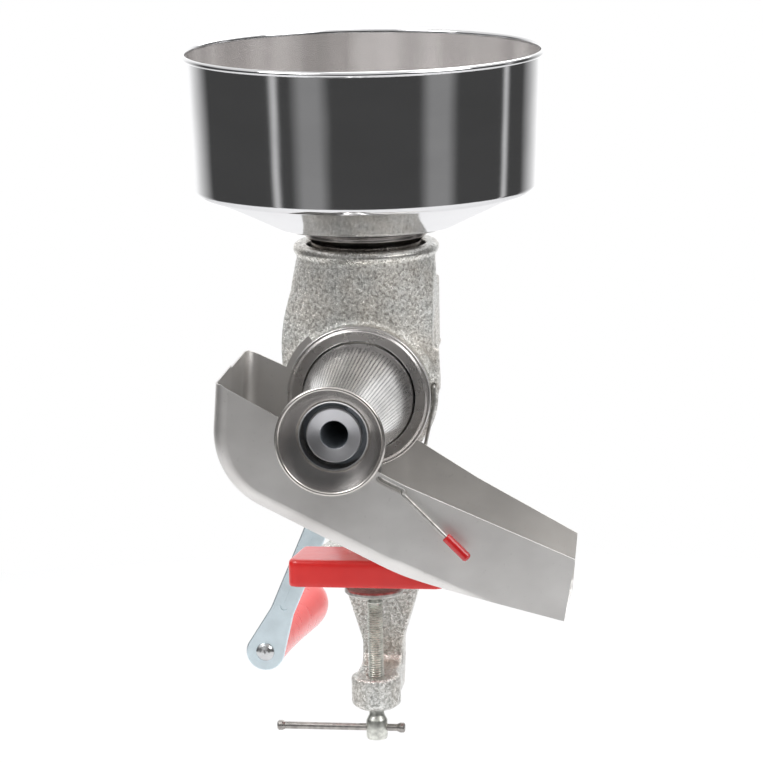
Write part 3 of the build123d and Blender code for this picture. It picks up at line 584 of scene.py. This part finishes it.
def pierced_cone():
    """The cone with a real opening in every cell and a plain collar at each end."""
    points, faces, index = [], [], {}

    def corner(row, step):
        key = (row % (2 * hole_rows), step)
        if key not in index:
            index[key] = len(points)
            along = holes_from + (holes_to - holes_from) * step / (2 * holes_per_row)
            points.append(on_cone(key[0] / 2, along))
        return index[key]

    around = ((-1, -1), (0, -1), (1, -1), (1, 0), (1, 1), (0, 1), (-1, 1), (-1, 0))
    for row in range(hole_rows):
        for step in range(holes_per_row):
            centre = (2 * row + 1, 2 * step + 1)
            frame_ring = [corner(centre[0] + x, centre[1] + y) for x, y in around]
            hole_ring = []
            for x, y in around:
                reach = 1 if 0 in (x, y) else hole_rounding
                side = (centre[0] + x * reach * hole_width) / 2
                along = centre[1] + y * reach * hole_length
                place = holes_from + (holes_to - holes_from) * along / (2 * holes_per_row)
                hole_ring.append(len(points))
                points.append(on_cone(side, place))
            for near in range(8):
                far = (near + 1) % 8
                faces.append((frame_ring[near], frame_ring[far], hole_ring[far], hole_ring[near]))
    for edge, step in ((cone_back, 0), (cone_edge, 2 * holes_per_row)):
        for row in range(2 * hole_rows):
            near = [corner(row, step), corner(row + 1, step)]
            far = []
            for side in (row, row + 1):
                key = (side % (2 * hole_rows), edge)
                if key not in index:
                    index[key] = len(points)
                    points.append(on_cone(key[0] / 2, edge))
                far.append(index[key])
            if step:
                faces.append((near[0], near[1], far[1], far[0]))
            else:
                faces.append((far[0], far[1], near[1], near[0]))
    mesh = bpy.data.meshes.new("pierced_cone")
    mesh.from_pydata(points, [], faces)
    mesh.validate()
    piece = as_object("pierced_cone", mesh)
    wall = piece.modifiers.new("wall", "SOLIDIFY")
    wall.thickness = cone_wall * mm
    wall.offset = -1
    return settled(piece)


cone = pierced_cone()
dress(cone, tinned("pierced_tin_plate", (0.97, 0.96, 0.95), 0.16), crease=50)
stand_for(cone, "strainer_cone", "frame")

cup_front, cup_r, cup_roll = -178.0, 31.2, 1.3
sleeve_back = cone_front + 5
sleeve_r = cone_radius(sleeve_back)
cup_section = [
    *eased([
        (cone_front - 0.6, cone_tip_r - 0.1), (cone_front - 0.2, cone_radius(cone_front) + 0.2),
        (sleeve_back, sleeve_r + 0.2), (sleeve_back, sleeve_r + 1.2, 0.4),
        (cone_front, cone_tip_r + 1.2, 2), (cup_front + 1.4, cup_r - 0.3),
    ]),
    *arc((cup_front, cup_r), cup_roll, 60, -180, 18),
    (cup_front + 0.9, cup_r - 1.3),
]
cup = spun("flared_cup", cup_section, barrel_centre, axis="Y", steps=160)
dress(cup, tinned("spun_cup_plate", (0.62, 0.59, 0.56), 0.17, round_y), crease=35)
stand_for(cup, "waste_cup", "frame")

# ==== Screw =================================================================================
# The feed screw is a moulding with a flight that tapers with the strainer, coloured a dark blue-grey
# that is painted shade from the strainer round it. Its end face is a dished ring that shows in the cup,
# round the hole that the mould's core pin left.


def shade_darkened_moulding():
    """Matt moulded plastic with flow marks along the screw, darkened with painted shade."""
    finish = Finish("shade_darkened_screw_moulding", Specular_IOR_Level=0.45)
    grain = finish.noise(0.9 * mm, detail=3.0)
    flow = finish.noise(7 * mm, scale=(1, 0.4, 1), detail=2.0)
    finish.feed(
        # painted shade: the dark blue-grey stands for the shade inside the strainer
        Base_Color=finish.mix(flow.clipped(0.3, 0.7), (0.17, 0.19, 0.215), (0.23, 0.25, 0.275)),
        Roughness=0.42 + grain * 0.2,
    )
    finish.bump(grain, 0.06 * mm)
    return finish


dress(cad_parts["auger"], shade_darkened_moulding())
screw_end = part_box("auger")[0].y / mm
dished_end = spun("dished_screw_end", eased([
    (screw_end - 0.1, 8.4, 0.3), (screw_end - 1.9, 15.6, 0.5), (screw_end - 1.5, 16.3, 0.4),
    (screw_end + 3.0, 16.45), (screw_end + 3.0, 8.3),
]), barrel_centre, axis="Y", steps=128)
dress(dished_end, tinned("turned_screw_end", (0.56, 0.56, 0.58), 0.26, round_y), crease=30)
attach(dished_end, "crank")

# ==== Crank =================================================================================
# Flat steel bar, sheared and pierced, with a groove pressed along it, and bright zinc plating
# that is slightly blue. A washer and nut hold it on the shaft, a riveted pin holds the grip.


def zinc(name, colour, roughness):
    """Bright zinc: cold, a little milky, with fine spangle."""
    finish = Finish(name, Metallic=0.95)
    milk = finish.noise(12 * mm, detail=3.0)
    spangle = finish.noise(1.1 * mm, detail=2.0)
    finish.feed(
        Base_Color=finish.mix(milk.clipped(0.3, 0.7), colour, tuple(0.86 * c for c in colour)),
        Roughness=roughness + spangle * 0.12,
    )
    finish.bump(spangle, 0.04 * mm)
    return finish


dress(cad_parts["crank_arm"], zinc("blue_zinc_bar", (0.74, 0.85, 0.90), 0.30))
bright_zinc = zinc("bright_zinc_turned", (0.66, 0.67, 0.68), 0.14)
for node in ("crank_washer", "crank_nut", "grip_axle"):
    dress(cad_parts[node], bright_zinc)

# ==== Grip ==================================================================================
# Turned wooden grip in red lacquer, fat at its end so that the hand stays on, and free to spin
# on its pin. The lacquer is satin, with a faint orange skin.
grip_low, grip_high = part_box("grip")
grip_axis = (grip_low + grip_high) / 2
# how far along the grip, how wide against its foot, and how far it has leant over by there
grip_stations = (
    (0.0, 0.90, 0), (0.004, 0.97, 0), (0.012, 1.0, 0), (0.10, 1.0, 0.08), (0.22, 1.03, 0.20),
    (0.36, 1.09, 0.36), (0.52, 1.18, 0.54), (0.67, 1.29, 0.73), (0.79, 1.38, 0.90), (0.87, 1.41, 1.0),
    (0.92, 1.36, 1.03), (0.955, 1.22, 1.04), (0.98, 0.95, 1.04), (0.995, 0.55, 1.04), (1.0, 0.01, 1.04),
)
grip_foot_r = 12.6
grip_lean = Vector((7.6, 0, 1.8)) * mm
grip_rows = []
for along, share, lean in ((0.0, 0.33, 0), *grip_stations):
    radius = share * grip_foot_r * mm
    grip_y = grip_low.y + (grip_high.y - grip_low.y) * along
    grip_rows.append([
        grip_lean * lean + Vector((
            grip_axis.x + radius * cos(2 * pi * side / ring_steps),
            grip_y,
            grip_axis.z + radius * sin(2 * pi * side / ring_steps),
        )) for side in range(ring_steps)
    ])
grip = as_object("leaning_grip", meshed("leaning_grip", grip_rows))
round_off = grip.modifiers.new("round_off", "SUBSURF")
round_off.levels = round_off.render_levels = 2
settled(grip)
dress(grip, vinyl("red_lacquer", (0.80, 0.065, 0.06), (0.88, 0.10, 0.09), 0.24))
stand_for(grip, "grip", "handle")

# ==== Collecting pan ========================================================================
# One blank of tinned sheet, folded up into a chute with hemmed edges, that hangs round the
# barrel and slopes to its outlet. The tin is satin, and painted shade makes it a little darker towards
# the closed end.
# where the painted shade on the pan begins and where it is full, as X in mm
painted_shade_x = (75, 5)


def folded_sheet():
    """Satin tin plate with drawing marks along X, a soft bloom and painted shade towards the closed
    end.
    """
    finish = Finish("folded_tin_plate", Metallic=0.9)
    marks = finish.noise(0.8 * mm, scale=(0.06, 1, 1), detail=3.0, rough=0.6)
    bloom = finish.noise(38 * mm, scale=(0.7, 1, 1), detail=3.0)
    spots = finish.noise(2.4 * mm, detail=2.0).clipped(0.66, 0.78)
    # painted shade: the colour darkens towards the closed end, up to 0.35 of the way to the darker tin
    painted_shade_end = finish.along(0).clipped(painted_shade_x[0] * mm, painted_shade_x[1] * mm)
    finish.feed(
        Base_Color=finish.mix(
            bloom.clipped(0.3, 0.7) * 0.5 + spots * 0.15 + painted_shade_end * 0.35,
            (0.86, 0.845, 0.825), (0.50, 0.485, 0.47)),
        Roughness=0.30 + marks * 0.10 + bloom * 0.08,
    )
    finish.bump(marks * 0.2 + bloom, 0.15 * mm)
    return finish


dress(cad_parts["pan"], folded_sheet())
spring_wire = oiled_rod("drawn_wire", (0.50, 0.49, 0.47), 0.25)
for node in ("pan_hook", "latch_wire"):
    dress(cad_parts[node], spring_wire)
dress(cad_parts["latch_tip"], vinyl("red_latch_dip", (0.42, 0.006, 0.008), (0.58, 0.015, 0.017), 0.18))

# ==== Studio ================================================================================
# White floor far below the clamped tool, three soft boxes above it, and a plain surround of
# dark flags and strip lights that the polished steel mirrors as upright bands.
photo_pixels = 763
lens_pixels = 3862
camera_azimuth = radians(7.7)
camera_height = radians(11.8)
camera_distance = 2.4
camera_roll = radians(1.0)
aim = Vector((6.7, 0, 122.2)) * mm

to_camera = Vector((sin(camera_azimuth), -cos(camera_azimuth), 0))
to_right = Vector((cos(camera_azimuth), sin(camera_azimuth), 0))
view_line = to_camera * cos(camera_height) + Vector((0, 0, sin(camera_height)))
lens = bpy.data.cameras.new("camera")
lens.sensor_width = 36
lens.lens = lens_pixels / photo_pixels * lens.sensor_width
camera = bpy.data.objects.new("camera", lens)
bpy.context.scene.collection.objects.link(camera)
camera.location = aim + view_line * camera_distance
looking = (-view_line).to_track_quat("-Z", "Y").to_matrix()
camera.rotation_euler = (looking @ Matrix.Rotation(-camera_roll, 3, "Z")).to_euler()
bpy.context.scene.camera = camera
bpy.context.scene.view_settings.view_transform = "Standard"

# Dark flags stand round the camera, strips of light between them, and a white backdrop behind.
# Angles are degrees to the right of the camera; a strip is its middle, width, soft edge, level.
dark_flag, soft_strip, bright_strip, backdrop = 0.07, 0.30, 0.65, 1.25
flags_end, flag_edge = (-120, 125), 30
strips = (
    (-60, 2, 3, bright_strip), (-35, 12, 8, soft_strip), (50, 12, 8, soft_strip),
    (105, 2, 3, bright_strip),
)
cards = [(-180, backdrop), (flags_end[0] - flag_edge, backdrop), (flags_end[0], dark_flag)]
for middle, width, edge, level in strips:
    near, far = middle - width / 2, middle + width / 2
    cards += [(near - edge, dark_flag), (near, level), (far, level), (far + edge, dark_flag)]
cards += [(flags_end[1], dark_flag), (flags_end[1] + flag_edge, backdrop)]
world = bpy.data.worlds.new("studio")
bpy.context.scene.world = world
world.use_nodes = True
air = Shading(world.node_tree)
ray = air.node("ShaderNodeTexCoord", {}, output="Generated")
projected = {"operation": "DOT_PRODUCT"}
ahead = air.node("ShaderNodeVectorMath", projected, ray, tuple(to_camera), output="Value")
aside = air.node("ShaderNodeVectorMath", projected, ray, tuple(to_right), output="Value")
upward = air.node("ShaderNodeSeparateXYZ", {}, ray, output="Z")
turn = aside.of("ARCTAN2", ahead) / (2 * pi) + 0.5
ramp = air.node("ShaderNodeValToRGB", {}, turn, output="Color")
stops = ramp.socket.node.color_ramp.elements
for card in cards[1:-1]:
    stops.new(card[0] / 360 + 0.5)
for stop, (angle, level) in zip(stops, cards):
    stop.position = angle / 360 + 0.5
    stop.color = (level, level, level, 1)
# how steeply a ray points where the cards give way to the white ceiling and the white ground
ceiling_rise = (0.25, 0.6)
ground_fall = (-0.35, -0.55)
ceiling = air.mix(upward.clipped(*ceiling_rise), ramp, (0.95, 0.95, 0.95))
surround = air.mix(upward.clipped(*ground_fall), ceiling, (0.9, 0.9, 0.9))
is_camera = air.node("ShaderNodeLightPath", {}, output="Is Camera Ray")
is_glossy = air.node("ShaderNodeLightPath", {}, output="Is Glossy Ray")
is_through = air.node("ShaderNodeLightPath", {}, output="Is Transmission Ray")
lit = air.mix(is_glossy, (0.62, 0.62, 0.63), surround)
air.plug(
    air.mix(is_camera.of("MAXIMUM", is_through), lit, (1.0, 1.0, 1.0)),
    world.node_tree.nodes["Background"].inputs["Color"],
)


box_size = 1.0


def soft_box(name, place, power):
    """A square area light in metres and watts that faces the middle of the tool."""
    light = bpy.data.lights.new(name, "AREA")
    light.size = box_size
    light.energy = power
    lamp = bpy.data.objects.new(name, light)
    bpy.context.scene.collection.objects.link(lamp)
    lamp.location = place
    lamp.rotation_euler = (aim - Vector(place)).to_track_quat("-Z", "Y").to_euler()


soft_box("key_box", (-1.1, -1.0, 1.6), 22)
soft_box("fill_box", (1.3, -0.7, 1.2), 12)
soft_box("back_box", (0.2, 1.4, 1.5), 14)

floor_z, floor_r, floor_middle_r = -320, 1300, 1
floor_rings = [round_z(floor_middle_r, floor_z), round_z(floor_r, floor_z)]
floor = as_object("floor", meshed("floor", floor_rings))
floor_share_white = 0.6
paper = Finish("white_paper", Base_Color=(0.92, 0.92, 0.92), Roughness=0.9, Specular_IOR_Level=0.1)
glow = paper.node("ShaderNodeEmission", {}, (1.0, 1.0, 1.0), 1.0)
paper_camera = paper.node("ShaderNodeLightPath", {}, output="Is Camera Ray")
lit_paper = Value(paper, paper.surface.outputs[0])
shown = paper.node("ShaderNodeMixShader", {}, paper_camera * floor_share_white, lit_paper, glow)
paper.plug(shown, paper.tree.nodes["Material Output"].inputs["Surface"])
floor.data.materials.append(paper.material)
